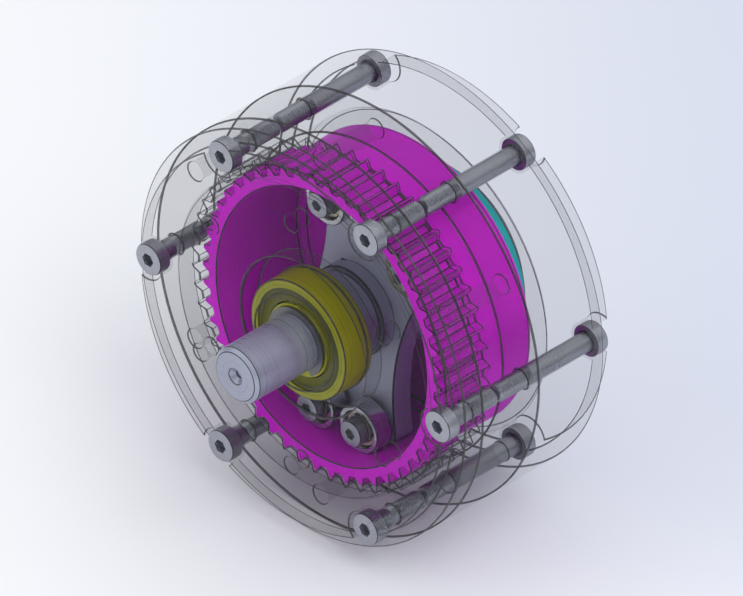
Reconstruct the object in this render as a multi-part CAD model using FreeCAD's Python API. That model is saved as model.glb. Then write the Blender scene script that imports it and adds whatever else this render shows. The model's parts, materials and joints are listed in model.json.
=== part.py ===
import FreeCAD, Part
import math
import os

V = FreeCAD.Vector

# Strain wave gear, in millimetres. The gear axis is Y and +Z is up.
# The origin is the centre of the front mounting face; the input shaft points to -Y.

# Teeth
module = 1.6
flex_teeth = 50
ring_teeth = 52
flank_angle = 25.0
flex_addendum = 1.9
flex_dedendum = 0.6
ring_addendum = 0.45
ring_dedendum = 2.1
backlash = 0.08
major_angle = 73.5  # line of the two lobes, from +X towards +Z

# Flexible cup
wall_under_teeth = 2.5
cup_step = 0.2  # the plain wall lies this far below the tooth roots
diaphragm = 2.0
cup_corner = 1.2
cup_front_gap = 0.3
tooth_end_gap = 0.3
round_length = 4.0  # last stretch of the cup, which stays round
diaphragm_bore = 8.0

# Housing
rim_wall = 11.3  # from the ring's tooth roots to the outside
disc_step = 4.0  # the end discs are this much smaller in radius
bore_step = 1.0  # plain bores are this much smaller than the tooth roots
disc_thickness = 4.0
flange_thickness = 6.0
ring_width = 19.0
ring_tooth_length = 14.0
drum_length = 22.0
rear_disc_thickness = 5.5
rear_bore_depth = 16.0
front_boss_radius = 21.0
front_lip = 2.5
front_lip_radius = 12.2
rear_lip = 3.0
rear_lip_radius = 22.0
edge_break = 0.4

# Housing screws
rim_inset = 6.0  # the screw circle lies this far inside the outside
rim_holes = 12
cover_screws = 6
m5_radius = 2.5
m5_head_radius = 4.25
m5_head_height = 3.5
m5_hex = 3.0  # hexagon, across flats
counterbore_radius = 5.0
screw_clearance = 0.25
m5_depth = 9.0  # thread taken in the ring

# Motor mounting holes in the front face
motor_circle_radius = 35.5
motor_hole_radius = 2.25
motor_holes = 6

# Bearings
input_bore = 7.5
input_outer = 16.0
input_width = 9.0
input_ball = 2.38
input_ball_count = 9
output_bore = 20.0
output_outer = 26.0
output_width = 7.0
output_ball = 1.75
output_ball_count = 24
stub_bore = 6.0
stub_outer = 12.0
stub_width = 6.0
stub_ball = 1.5
stub_ball_count = 10
roller_bore = 2.0
roller_outer = 6.5
roller_width = 5.0
roller_ball = 1.0
roller_ball_count = 7
ball_gap = 0.08
shoulder_share = 0.8  # how far a ring's shoulder covers the ball's radius
cage_share = 0.35
cage_margin = 0.4
shield_thickness = 0.3
shield_recess = 0.3
shield_gap = 0.25
ring_chamfer = 0.3

# Input shaft
shaft_reach = 18.9  # free length ahead of the front face
shaft_chamfer = 1.0
shoulder_radius = 9.5
shoulder_length = 0.5
shaft_hub_radius = 11.0
shaft_hub_length = 11.8
rim_radius = 12.0
rim_web = 0.8  # the rim starts this far ahead of the collar's socket
rim_groove = 0.6
circlip_thickness = 1.0
circlip_outer = 9.2
circlip_groove = 0.35
circlip_gap_angle = 70.0

# Wave plate
plate_thickness = 6.3
plate_boss_radius = 8.2
plate_boss_length = 7.0
collar_radius = 10.6
collar_length = 3.0
relief_depth = 0.5
relief_width = 0.8
lobe_reach = 0.1  # the lobes pass the cup's round inner radius by this much
lobe_half_angle = 36.2
lobe_corner = 3.0
waist = 14.5
pin_circle = 4.0
pin_radius = 2.0
pin_engagement = 3.3
pin_tip = 0.4
flange_hole_circle = 10.8
flange_hole_turn = 45.0  # from the lobe line
flange_hole_count = 4
m3_radius = 1.5
m3_head_radius = 2.75
m3_head_height = 3.0
m3_hex = 2.5
m3_clearance = 0.15
m3_engagement = 5.6

# Rollers on the lobes
side_contact = 27.8  # contact angle of the outer rollers, from the lobe line
roller_gap = 0.1
seat_radius = 4.65
seat_height = 1.0
seat_pad_radius = 3.1
seat_pad_height = 0.2
m4_radius = 2.0
m4_head_radius = 3.5
m4_head_height = 2.8
m4_hex = 2.5
roller_thread_margin = 0.6

# Stub shaft
stub_flange_thickness = 6.1
stub_flange_radius = 14.6
stub_mid_radius = 7.5
stub_end_short = 0.2

# Output hub
hub_flange_thickness = 4.0
hub_flange_inset = 0.2  # the flange ends this far below the bearing's inner shoulder
hub_groove = 0.4
hub_recess_radius = 11.4
hub_recess_depth = 5.8
hub_bore = 8.0
hub_circle = 15.5
hub_holes = 6
hub_screw_depth = 6.0
hub_hole_spare = 1.0  # the tapped holes are this much deeper than the screws reach
output_circle_radius = 16.0
output_holes = 6
output_hole_depth = 10.0

# Radii that follow from the teeth and the bearings
flex_pitch = module * flex_teeth / 2
ring_pitch = module * ring_teeth / 2
wave = ring_pitch - flex_pitch
flex_tip = flex_pitch + flex_addendum
flex_root = flex_pitch - flex_dedendum
ring_tip = ring_pitch - ring_addendum
ring_root = ring_pitch + ring_dedendum
cup_inner = flex_root - wall_under_teeth
cup_outer = flex_root - cup_step
cup_middle = (flex_root + cup_inner) / 2
housing_radius = ring_root + rim_wall
disc_radius = housing_radius - disc_step
bore_radius = ring_root - bore_step
rim_circle = housing_radius - rim_inset
lobe_radius = cup_inner + lobe_reach
output_shoulder = (output_bore + output_outer) / 2 - shoulder_share * output_ball
hub_flange_radius = output_shoulder - hub_flange_inset

# Places along the axis, from the front face
y_disc = disc_thickness
y_ring = y_disc + flange_thickness
y_ring_teeth = y_ring + ring_tooth_length
y_ring_rear = y_ring + ring_width
y_drum = y_ring_rear + drum_length
y_rear = y_drum + rear_disc_thickness
y_input = front_lip
y_hub_step = y_input + input_width
y_plate = y_hub_step + shaft_hub_length
y_plate_rear = y_plate + plate_thickness
y_stub_flange = y_plate_rear + stub_flange_thickness
y_cup = y_ring + cup_front_gap
y_band = y_ring_teeth - tooth_end_gap
y_lip = y_rear - rear_lip
y_output = y_lip - output_width
y_hub = y_output - hub_flange_thickness
y_diaphragm = y_hub - diaphragm
y_round = y_hub - round_length
y_stub_bearing = y_rear - stub_width
y_roller = y_plate - seat_height - seat_pad_height - roller_width

# Screws as shank radius, head radius, head height and hexagon
m3_screw = (m3_radius, m3_head_radius, m3_head_height, m3_hex)
m4_screw = (m4_radius, m4_head_radius, m4_head_height, m4_hex)
m5_screw = (m5_radius, m5_head_radius, m5_head_height, m5_hex)

axis_y = V(0, 1, 0)
origin = V(0, 0, 0)


# Point at a radius and an angle, which runs from +X towards +Z
def polar(radius, degrees, y=0.0):
    a = math.radians(degrees)
    return V(radius * math.cos(a), y, radius * math.sin(a))


# Copy of a shape turned about the gear axis, from +X towards +Z
def turned_to(shape, degrees):
    copy = shape.copy()
    copy.rotate(origin, axis_y, -degrees)
    return copy


# Round bar along Y about a centre
def bar(radius, y0, y1, centre=origin):
    return Part.makeCylinder(radius, y1 - y0, V(centre.x, y0, centre.z), axis_y)


# Tube along Y about a centre
def tube(outer, inner, y0, y1, centre=origin):
    return bar(outer, y0, y1, centre).cut(bar(inner, y0, y1, centre))


# Solid turned about the gear axis from corners given as radius and y
def turned(corners):
    points = [V(r, y, 0) for r, y in corners]
    face = Part.Face(Part.makePolygon(points + points[:1]))
    return face.revolve(origin, axis_y, 360)


# Bars on a circle, for holes, pins and balls
def circle_of_bars(radius, circle, count, first, y0, y1):
    step = 360.0 / count
    return [bar(radius, y0, y1, polar(circle, first + i * step)) for i in range(count)]


# Closed curve about the axis whose radius rises twice a turn, towards the lobes
def wave_wire(mean, lift, y, count=48):
    points = []
    for i in range(count):
        a = 360.0 * i / count
        radius = mean + lift * math.cos(math.radians(2 * a))
        points.append(polar(radius, major_angle + a, y))
    curve = Part.BSplineCurve()
    curve.interpolate(Points=points, PeriodicFlag=True)
    return Part.Wire([curve.toShape()])


# Solid between the closed curves given as mean radius, lift and y
def wave_solid(sections):
    wires = [wave_wire(mean, lift, y) for mean, lift, y in sections]
    return Part.makeLoft(wires, True, True)


# One tooth of the flexible cup, bent onto the wave, as corners from root to root
def flex_tooth(index):
    a = 2 * math.pi * index / flex_teeth
    lift = wave * math.cos(2 * a)
    slide = -wave / 2 * math.sin(2 * a)
    lean = 1.5 * wave * math.sin(2 * a) / cup_middle
    foot = cup_middle + lift
    place = math.radians(major_angle) + a + slide / cup_middle
    normal = math.radians(major_angle) + a + lean
    half = math.pi * module / 4 - backlash / 2
    slope = math.tan(math.radians(flank_angle))
    corners = []
    for side in (-1, 1):
        heights = (-flex_dedendum, flex_addendum)
        for h in heights if side < 0 else reversed(heights):
            up = flex_pitch + h - cup_middle
            across = side * (half - h * slope)
            x = foot * math.cos(place) + up * math.cos(normal) - across * math.sin(normal)
            z = foot * math.sin(place) + up * math.sin(normal) + across * math.cos(normal)
            corners.append(V(x, y_cup, z))
    return corners


# One space between two teeth of the ring, as corners from tip to tip
def ring_space(index):
    a = math.radians(major_angle) + 2 * math.pi * index / ring_teeth
    half = math.pi * module / 4
    slope = math.tan(math.radians(flank_angle))
    corners = []
    for side in (-1, 1):
        heights = (-ring_addendum, ring_dedendum)
        for h in heights if side < 0 else reversed(heights):
            up = ring_pitch + h
            across = side * (half - h * slope)
            x = up * math.cos(a) - across * math.sin(a)
            z = up * math.sin(a) + across * math.cos(a)
            corners.append(V(x, y_ring, z))
    return corners


# Cap screw along Y: the head's seat is at y, the shank points to the sign of way
def cap_screw(sizes, length, y, way, centre):
    radius, head_radius, head_height, hexagon = sizes
    chamfer = 0.15 * radius
    shank = Part.makeCylinder(radius, length - chamfer, V(0, 0, 0), axis_y)
    tip_start = V(0, length - chamfer, 0)
    tip = Part.makeCone(radius, radius - chamfer, chamfer, tip_start, axis_y)
    body_height = head_height - chamfer
    head = Part.makeCylinder(head_radius, body_height, V(0, -body_height, 0), axis_y)
    top = Part.makeCone(head_radius - chamfer, head_radius, chamfer, V(0, -head_height, 0), axis_y)
    corner = hexagon / 2 / math.cos(math.radians(30))
    depth = 0.55 * head_height
    corners = [polar(corner, 60 * i, -head_height) for i in range(7)]
    socket = Part.Face(Part.makePolygon(corners)).extrude(V(0, depth, 0))
    screw = shank.fuse([tip, head, top]).removeSplitter().cut(socket)
    if way < 0:
        screw.rotate(origin, V(1, 0, 0), 180)
    screw.translate(V(centre.x, y, centre.z))
    return screw


# Ball bearing about a centre, as its rings, cage, balls and shields
def ball_bearing(bore, outer, width, ball, count, y, centre=origin):
    pitch = (bore + outer) / 2
    middle = y + width / 2
    inner_shoulder = pitch - shoulder_share * ball
    outer_shoulder = pitch + shoulder_share * ball
    c = ring_chamfer

    def ring(corners):
        solid = turned([(r, y + h) for r, h in corners])
        groove = Part.makeTorus(pitch, ball + ball_gap, V(0, middle, 0), axis_y)
        solid = solid.cut(groove)
        solid.translate(centre)
        return solid

    inner = ring([
        (bore, c), (bore + c, 0), (inner_shoulder, 0),
        (inner_shoulder, width), (bore + c, width), (bore, width - c),
    ])
    outside = ring([
        (outer_shoulder, 0), (outer - c, 0), (outer, c),
        (outer, width - c), (outer - c, width), (outer_shoulder, width),
    ])
    half = ball + cage_margin
    cage = tube(pitch + cage_share * ball, pitch - cage_share * ball, middle - half, middle + half)
    balls = []
    pockets = []
    for i in range(count):
        turn = 360.0 * i / count
        balls.append(Part.makeSphere(ball, polar(pitch, turn, middle)))
        inside = polar(pitch - ball, turn, middle)
        pockets.append(Part.makeCylinder(ball + ball_gap, 2 * ball, inside, polar(1, turn)))
    cage = cage.cut(pockets)
    cage.translate(centre)
    for b in balls:
        b.translate(centre)
    shields = []
    for start in (y + shield_recess, y + width - shield_recess - shield_thickness):
        end = start + shield_thickness
        shields.append(tube(outer_shoulder, inner_shoulder + shield_gap, start, end, centre))
    return {"inner": inner, "outer": outside, "cage": cage, "balls": balls, "shields": shields}


# Centres of the six rollers, each one gap inside the cup's inner wall
def roller_centres():
    centres = []
    for lobe in (0, 180):
        for contact in (-side_contact, 0.0, side_contact):
            a = math.radians(contact)
            radius = cup_inner + wave * math.cos(2 * a)
            tilt = math.atan2(2 * wave * math.sin(2 * a), radius)
            wall = polar(radius, major_angle + lobe + contact)
            inward = roller_outer + roller_gap
            normal = polar(inward, major_angle + lobe + contact + math.degrees(tilt))
            centres.append(wall - normal)
    return centres


# Front cover with the motor face and the input bearing's seat
def front_cover():
    e = edge_break
    cover = turned([
        (front_lip_radius, 0), (disc_radius - e, 0), (disc_radius, e), (disc_radius, y_disc),
        (housing_radius - e, y_disc), (housing_radius, y_disc + e), (housing_radius, y_ring),
        (bore_radius, y_ring), (bore_radius, y_disc), (front_boss_radius, y_disc),
        (front_boss_radius, y_ring), (input_outer, y_ring), (input_outer, front_lip),
        (front_lip_radius, front_lip),
    ])
    holes = circle_of_bars(m5_radius + screw_clearance, rim_circle, cover_screws, 0, 0, y_ring)
    holes += circle_of_bars(counterbore_radius, rim_circle, cover_screws, 0, 0, y_disc)
    first = 180.0 / motor_holes
    holes += circle_of_bars(motor_hole_radius, motor_circle_radius, motor_holes, first, 0, y_disc)
    return cover.cut(holes)


# Ring with inner teeth, which the covers are screwed to
def ring_gear():
    ring = bar(housing_radius, y_ring, y_ring_rear)
    corners = []
    for i in range(ring_teeth):
        corners += ring_space(i)
    outline = Part.Face(Part.makePolygon(corners + corners[:1]))
    teeth = outline.extrude(V(0, ring_tooth_length, 0))
    bore = bar(bore_radius, y_ring_teeth, y_ring_rear)
    holes = circle_of_bars(m5_radius, rim_circle, rim_holes, 0, y_ring, y_ring_rear)
    return ring.cut([teeth, bore] + holes)


# Rear cover with the output bearing's seat
def rear_cover():
    e = edge_break
    floor = y_ring_rear + rear_bore_depth
    cover = turned([
        (bore_radius, y_ring_rear), (housing_radius, y_ring_rear), (housing_radius, y_drum - e),
        (housing_radius - e, y_drum), (disc_radius, y_drum), (disc_radius, y_rear - e),
        (disc_radius - e, y_rear), (rear_lip_radius, y_rear), (rear_lip_radius, y_lip),
        (output_outer, y_lip), (output_outer, floor), (bore_radius, floor),
    ])
    hole = m5_radius + screw_clearance
    holes = circle_of_bars(hole, rim_circle, cover_screws, 0, y_ring_rear, y_rear)
    holes += circle_of_bars(counterbore_radius, rim_circle, cover_screws, 0, y_drum, y_rear)
    return cover.cut(holes)


# Screws of one cover: the head's seat is at y, the shank reaches into the ring
def cover_screw_set(y, length, way):
    screws = []
    for i in range(cover_screws):
        centre = polar(rim_circle, 360.0 * i / cover_screws)
        screws.append(cap_screw(m5_screw, length, y, way, centre))
    return screws


# Places of the holes that hold the drive pins
def pin_bars(radius, y0, y1):
    return circle_of_bars(radius, pin_circle, 2, major_angle, y0, y1)


# Places of the holes that take the stub's flange screws
def flange_bars(radius, y0, y1):
    first = major_angle - flange_hole_turn
    return circle_of_bars(radius, flange_hole_circle, flange_hole_count, first, y0, y1)


# Input shaft with the socket for the wave plate's boss
def input_shaft():
    y_tip = -shaft_reach
    y_shoulder = y_hub_step + shoulder_length
    y_rim = y_plate - collar_length - rim_web
    y_neck = y_rim - rim_groove
    y_clip = y_input - circlip_thickness
    neck = shaft_hub_radius - rim_groove
    e = edge_break
    shaft = turned([
        (0, y_tip), (input_bore - shaft_chamfer, y_tip), (input_bore, y_tip + shaft_chamfer),
        (input_bore, y_clip), (input_bore - circlip_groove, y_clip),
        (input_bore - circlip_groove, y_input), (input_bore, y_input), (input_bore, y_hub_step),
        (shoulder_radius, y_hub_step), (shoulder_radius, y_shoulder), (shaft_hub_radius, y_shoulder),
        (shaft_hub_radius, y_neck), (neck, y_neck), (neck, y_rim), (rim_radius - e, y_rim),
        (rim_radius, y_rim + e), (rim_radius, y_plate), (0, y_plate),
    ])
    y_socket = y_plate - plate_boss_length
    sockets = [bar(plate_boss_radius, y_socket, y_plate)]
    sockets.append(bar(collar_radius, y_plate - collar_length, y_plate))
    sockets += pin_bars(pin_radius, y_socket - pin_engagement, y_socket)
    return shaft.cut(sockets)


# Spring ring that holds the input bearing on the shaft
def shaft_circlip():
    y0 = y_input - circlip_thickness
    ring = tube(circlip_outer, input_bore - circlip_groove, y0, y_input)
    half = circlip_gap_angle / 2
    reach = 2 * circlip_outer
    corners = [V(0, y0, 0), polar(reach, -half, y0), polar(reach, half, y0), V(0, y0, 0)]
    gap = Part.Face(Part.makePolygon(corners)).extrude(V(0, circlip_thickness, 0))
    return turned_to(ring.cut(gap), -90)


# Wave plate with its two lobes, boss, collar and roller seats
def wave_plate():
    corner_up = lobe_radius * math.sin(math.radians(lobe_half_angle))
    corner_out = lobe_radius * math.cos(math.radians(lobe_half_angle))
    sag = corner_up - waist
    side = (corner_out ** 2 + sag ** 2) / (2 * sag)
    plate = bar(lobe_radius, y_plate, y_plate_rear)
    for sign in (-1, 1):
        plate = plate.cut(bar(side, y_plate, y_plate_rear, V(0, 0, sign * (waist + side))))
    corners = []
    for edge in plate.Edges:
        ends = [v.Point for v in edge.Vertexes]
        if len(ends) == 2 and abs(ends[0].x - ends[1].x) < 0.01 and abs(ends[0].z - ends[1].z) < 0.01:
            corners.append(edge)
    plate = turned_to(plate.makeFillet(lobe_corner, corners), major_angle)
    y_collar = y_plate - collar_length
    y_boss = y_plate - plate_boss_length
    relief = plate_boss_radius - relief_depth
    e = edge_break
    boss = turned([
        (0, y_boss), (plate_boss_radius - e, y_boss), (plate_boss_radius, y_boss + e),
        (plate_boss_radius, y_collar - relief_width), (relief, y_collar - relief_width),
        (relief, y_collar), (collar_radius, y_collar), (collar_radius, y_plate), (0, y_plate),
    ])
    added = [boss]
    holes = pin_bars(pin_radius, y_boss, y_plate_rear) + flange_bars(m3_radius, y_plate, y_plate_rear)
    y_seat = y_plate - seat_height
    y_pad = y_seat - seat_pad_height
    for centre in roller_centres():
        added.append(bar(seat_radius, y_seat, y_plate, centre))
        added.append(bar(seat_pad_radius, y_pad, y_seat, centre))
        holes.append(bar(m4_radius, y_pad, y_plate_rear, centre))
    return plate.fuse(added).removeSplitter().cut(holes)


# Screws that hold the rollers on the lobes
def roller_screws():
    length = y_plate_rear - roller_thread_margin - y_roller
    screws = []
    for centre in roller_centres():
        screws.append(cap_screw(m4_screw, length, y_roller, 1, centre))
    return screws


# Pins that carry the torque from the shaft through the plate to the stub
def drive_pins():
    y0 = y_plate - plate_boss_length - pin_engagement
    y1 = y_plate_rear + pin_engagement
    pins = []
    for place in (major_angle, major_angle + 180):
        body = [(0, y0), (pin_radius - pin_tip, y0), (pin_radius, y0 + pin_tip)]
        body += [(pin_radius, y1 - pin_tip), (pin_radius - pin_tip, y1), (0, y1)]
        pin = turned(body)
        pin.translate(polar(pin_circle, place))
        pins.append(pin)
    return pins


# Stub shaft that carries the plate's far side in the output hub
def stub_shaft():
    e = edge_break
    y_end = y_rear - stub_end_short
    stub = turned([
        (0, y_plate_rear), (stub_flange_radius, y_plate_rear), (stub_flange_radius, y_stub_flange - e),
        (stub_flange_radius - e, y_stub_flange), (stub_mid_radius, y_stub_flange),
        (stub_mid_radius, y_stub_bearing), (stub_bore, y_stub_bearing), (stub_bore, y_end - e),
        (stub_bore - e, y_end), (0, y_end),
    ])
    y_head = y_stub_flange - m3_head_height
    holes = pin_bars(pin_radius, y_plate_rear, y_plate_rear + pin_engagement)
    holes += flange_bars(m3_radius + m3_clearance, y_plate_rear, y_stub_flange)
    holes += flange_bars(m3_head_radius + m3_clearance, y_head, y_stub_flange)
    return stub.cut(holes)


# Screws that hold the stub's flange on the plate
def stub_screws():
    y_head = y_stub_flange - m3_head_height
    length = y_head - y_plate_rear + m3_engagement
    screws = []
    for i in range(flange_hole_count):
        turn = major_angle - flange_hole_turn + 360.0 * i / flange_hole_count
        centre = polar(flange_hole_circle, turn)
        screws.append(cap_screw(m3_screw, length, y_head, -1, centre))
    return screws


# Flexible cup, bent by the lobes, with its teeth in the ring's teeth
def flexspline():
    c = cup_corner
    wall = wave_solid([
        (cup_outer, wave, y_cup), (cup_outer, wave, y_band), (cup_outer, 0, y_round),
        (cup_outer, 0, y_hub - c), (cup_outer - c, 0, y_hub),
    ])
    hollow = wave_solid([
        (cup_inner, wave, y_cup), (cup_inner, wave, y_band), (cup_inner, 0, y_round),
        (cup_inner, 0, y_diaphragm - c), (cup_inner - c, 0, y_diaphragm),
    ])
    corners = []
    for i in range(flex_teeth):
        corners += flex_tooth(i)
    outline = Part.makePolygon(corners + corners[:1])
    inside = wave_wire(cup_middle, wave, y_cup)
    band = Part.Face([outline, inside], "Part::FaceMakerBullseye").extrude(V(0, y_band - y_cup, 0))
    cup = wall.cut(hollow).fuse(band)
    holes = [bar(diaphragm_bore, y_diaphragm, y_hub)]
    first = 180.0 / hub_holes
    holes += circle_of_bars(m4_radius + screw_clearance, hub_circle, hub_holes, first, y_diaphragm, y_hub)
    return cup.cut(holes)


# Output hub, turned by the cup and carried by the output bearing
def output_hub():
    e = edge_break
    y_web = y_hub + hub_recess_depth
    groove = output_bore - hub_groove
    hub = turned([
        (hub_bore, y_web), (hub_recess_radius, y_web), (hub_recess_radius, y_hub),
        (hub_flange_radius - e, y_hub), (hub_flange_radius, y_hub + e),
        (hub_flange_radius, y_output), (groove, y_output), (groove, y_output + hub_groove),
        (output_bore, y_output + hub_groove), (output_bore, y_rear - e), (output_bore - e, y_rear),
        (stub_outer, y_rear), (stub_outer, y_stub_bearing), (hub_bore, y_stub_bearing),
    ])
    y_tapped = y_hub + hub_screw_depth + hub_hole_spare
    holes = circle_of_bars(m4_radius, hub_circle, hub_holes, 180.0 / hub_holes, y_hub, y_tapped)
    y_bottom = y_rear - output_hole_depth
    holes += circle_of_bars(m5_radius, output_circle_radius, output_holes, 0, y_bottom, y_rear)
    return hub.cut(holes)


# Screws that clamp the cup's floor to the output hub
def cup_screws():
    length = diaphragm + hub_screw_depth
    screws = []
    for i in range(hub_holes):
        centre = polar(hub_circle, 180.0 / hub_holes + 360.0 * i / hub_holes)
        screws.append(cap_screw(m4_screw, length, y_diaphragm, 1, centre))
    return screws


# Writes one node, as one solid or as a group of separate solids
def save(name, shape):
    if isinstance(shape, list):
        shape = Part.makeCompound([s.Solids[0] for s in shape])
    elif shape.ShapeType == "Compound" and len(shape.Solids) == 1:
        shape = shape.Solids[0]
    for solid in shape.Solids:
        if not solid.isValid():
            print("not valid:", name)
    shape.exportStep("parts/" + name + ".step")
    print(name, len(shape.Solids), "solids", round(shape.Volume, 2), "mm3")


os.makedirs("parts", exist_ok=True)

save("front_cover", front_cover())
save("ring_gear", ring_gear())
save("rear_cover", rear_cover())
save("front_cover_screws", cover_screw_set(y_disc, flange_thickness + m5_depth, 1))
save("rear_cover_screws", cover_screw_set(y_drum, drum_length + m5_depth, -1))

save("input_shaft", input_shaft())
save("shaft_circlip", shaft_circlip())
save("wave_plate", wave_plate())
save("drive_pins", drive_pins())
save("stub_shaft", stub_shaft())
save("stub_screws", stub_screws())
save("roller_screws", roller_screws())

save("flexspline", flexspline())
save("output_hub", output_hub())
save("cup_screws", cup_screws())

bearings = {
    "input": (input_bore, input_outer, input_width, input_ball, input_ball_count, y_input),
    "output": (output_bore, output_outer, output_width, output_ball, output_ball_count, y_output),
    "stub": (stub_bore, stub_outer, stub_width, stub_ball, stub_ball_count, y_stub_bearing),
}
for name, sizes in bearings.items():
    bearing = ball_bearing(*sizes)
    save(name + "_inner_ring", bearing["inner"])
    save(name + "_outer_ring", bearing["outer"])
    save(name + "_cage", bearing["cage"])
    save(name + "_balls", bearing["balls"])
    save(name + "_shields", bearing["shields"])

inner_rings = []
for number, centre in enumerate(roller_centres(), 1):
    roller = ball_bearing(
        roller_bore, roller_outer, roller_width, roller_ball, roller_ball_count, y_roller, centre
    )
    inner_rings.append(roller["inner"])
    save("roller_%d_ring" % number, roller["outer"])
    save("roller_%d_cage" % number, roller["cage"])
    save("roller_%d_balls" % number, roller["balls"])
save("roller_inner_rings", inner_rings)

print("tooth tips", round(flex_tip, 2), round(ring_tip, 2))
print("housing", round(2 * housing_radius, 2), "x", round(y_rear + shaft_reach, 2))
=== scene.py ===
import json
import math

import bmesh
import bpy
from mathutils import Matrix, Vector

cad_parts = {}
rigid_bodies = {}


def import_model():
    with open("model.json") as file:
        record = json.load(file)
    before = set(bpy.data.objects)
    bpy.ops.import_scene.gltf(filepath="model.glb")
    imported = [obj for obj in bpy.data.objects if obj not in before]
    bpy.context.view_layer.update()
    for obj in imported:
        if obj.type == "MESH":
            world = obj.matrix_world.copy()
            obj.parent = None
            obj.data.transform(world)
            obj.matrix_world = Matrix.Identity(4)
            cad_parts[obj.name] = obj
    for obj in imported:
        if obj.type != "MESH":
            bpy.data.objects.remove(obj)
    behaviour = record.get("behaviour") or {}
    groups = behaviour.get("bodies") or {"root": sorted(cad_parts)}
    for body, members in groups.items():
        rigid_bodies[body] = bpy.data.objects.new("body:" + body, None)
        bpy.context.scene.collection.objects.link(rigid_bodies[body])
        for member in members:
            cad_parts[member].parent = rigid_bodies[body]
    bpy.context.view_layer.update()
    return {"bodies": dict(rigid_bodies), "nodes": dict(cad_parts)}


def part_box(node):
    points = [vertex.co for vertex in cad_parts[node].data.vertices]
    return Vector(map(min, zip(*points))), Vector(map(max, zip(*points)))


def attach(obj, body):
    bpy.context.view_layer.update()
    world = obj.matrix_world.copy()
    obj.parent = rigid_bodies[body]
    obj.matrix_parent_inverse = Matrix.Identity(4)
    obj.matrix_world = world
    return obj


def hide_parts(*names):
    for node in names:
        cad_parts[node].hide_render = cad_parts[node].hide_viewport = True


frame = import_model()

mm = 0.001
print("frame loaded:", len(frame["nodes"]), "nodes")


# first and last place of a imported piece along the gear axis, in millimetres
def ends(node):
    low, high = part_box(node)
    return round(low.y / mm, 3), round(high.y / mm, 3)


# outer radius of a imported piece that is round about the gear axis
def radiusOf(node):
    return round(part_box(node)[1].x / mm, 2)


def centreOf(node):
    low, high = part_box(node)
    return Vector(((low.x + high.x) / 2, 0, (low.z + high.z) / 2))


# sizes in millimetres; the gear axis is Y, and angles run from +X towards +Z
frontFace, ringFront = ends("front_cover")
ringRear = ends("ring_gear")[1]
rearFace = ends("rear_cover")[1]
inputFront, inputRear = ends("input_inner_ring")
outputFront, outputRear = ends("output_inner_ring")
stubFront = ends("stub_inner_ring")[0]
shaftTip, plateFront = ends("input_shaft")
bossFront, plateRear = ends("wave_plate")
pinFront = ends("drive_pins")[0]
cupFront, cupRear = ends("flexspline")
rollerRear = ends("roller_1_ring")[1]
housingRadius = radiusOf("ring_gear")
housingBore = 42.7
discStep = 4.0  # the end discs are this much smaller in radius than the flanges
rimCircle = housingRadius - 6.0
lobeAngle = math.radians(73.5)
partingGap = 0.02  # faces that meet stand this far apart
seatPlay = 0.03  # bearing seats are this much larger than the rings in them
holeMouth = 0.3  # broken edge round each hole
overrun = 1.0  # cutters run this far past a face


# finishes


def newMaterial(name, **values):
    material = bpy.data.materials.new(name)
    material.use_nodes = True
    shader = material.node_tree.nodes["Principled BSDF"]
    for key, value in values.items():
        shader.inputs[key.replace("_", " ")].default_value = value
    return material


def addNode(material, kind, *settings, **values):
    node = material.node_tree.nodes.new("ShaderNode" + kind)
    for key, value in values.items():
        setattr(node, key, value)
    for socket, value in settings:
        node.inputs[socket].default_value = value
    return node


def connect(material, *pairs):
    for source, target in pairs:
        material.node_tree.links.new(source, target)


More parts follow.
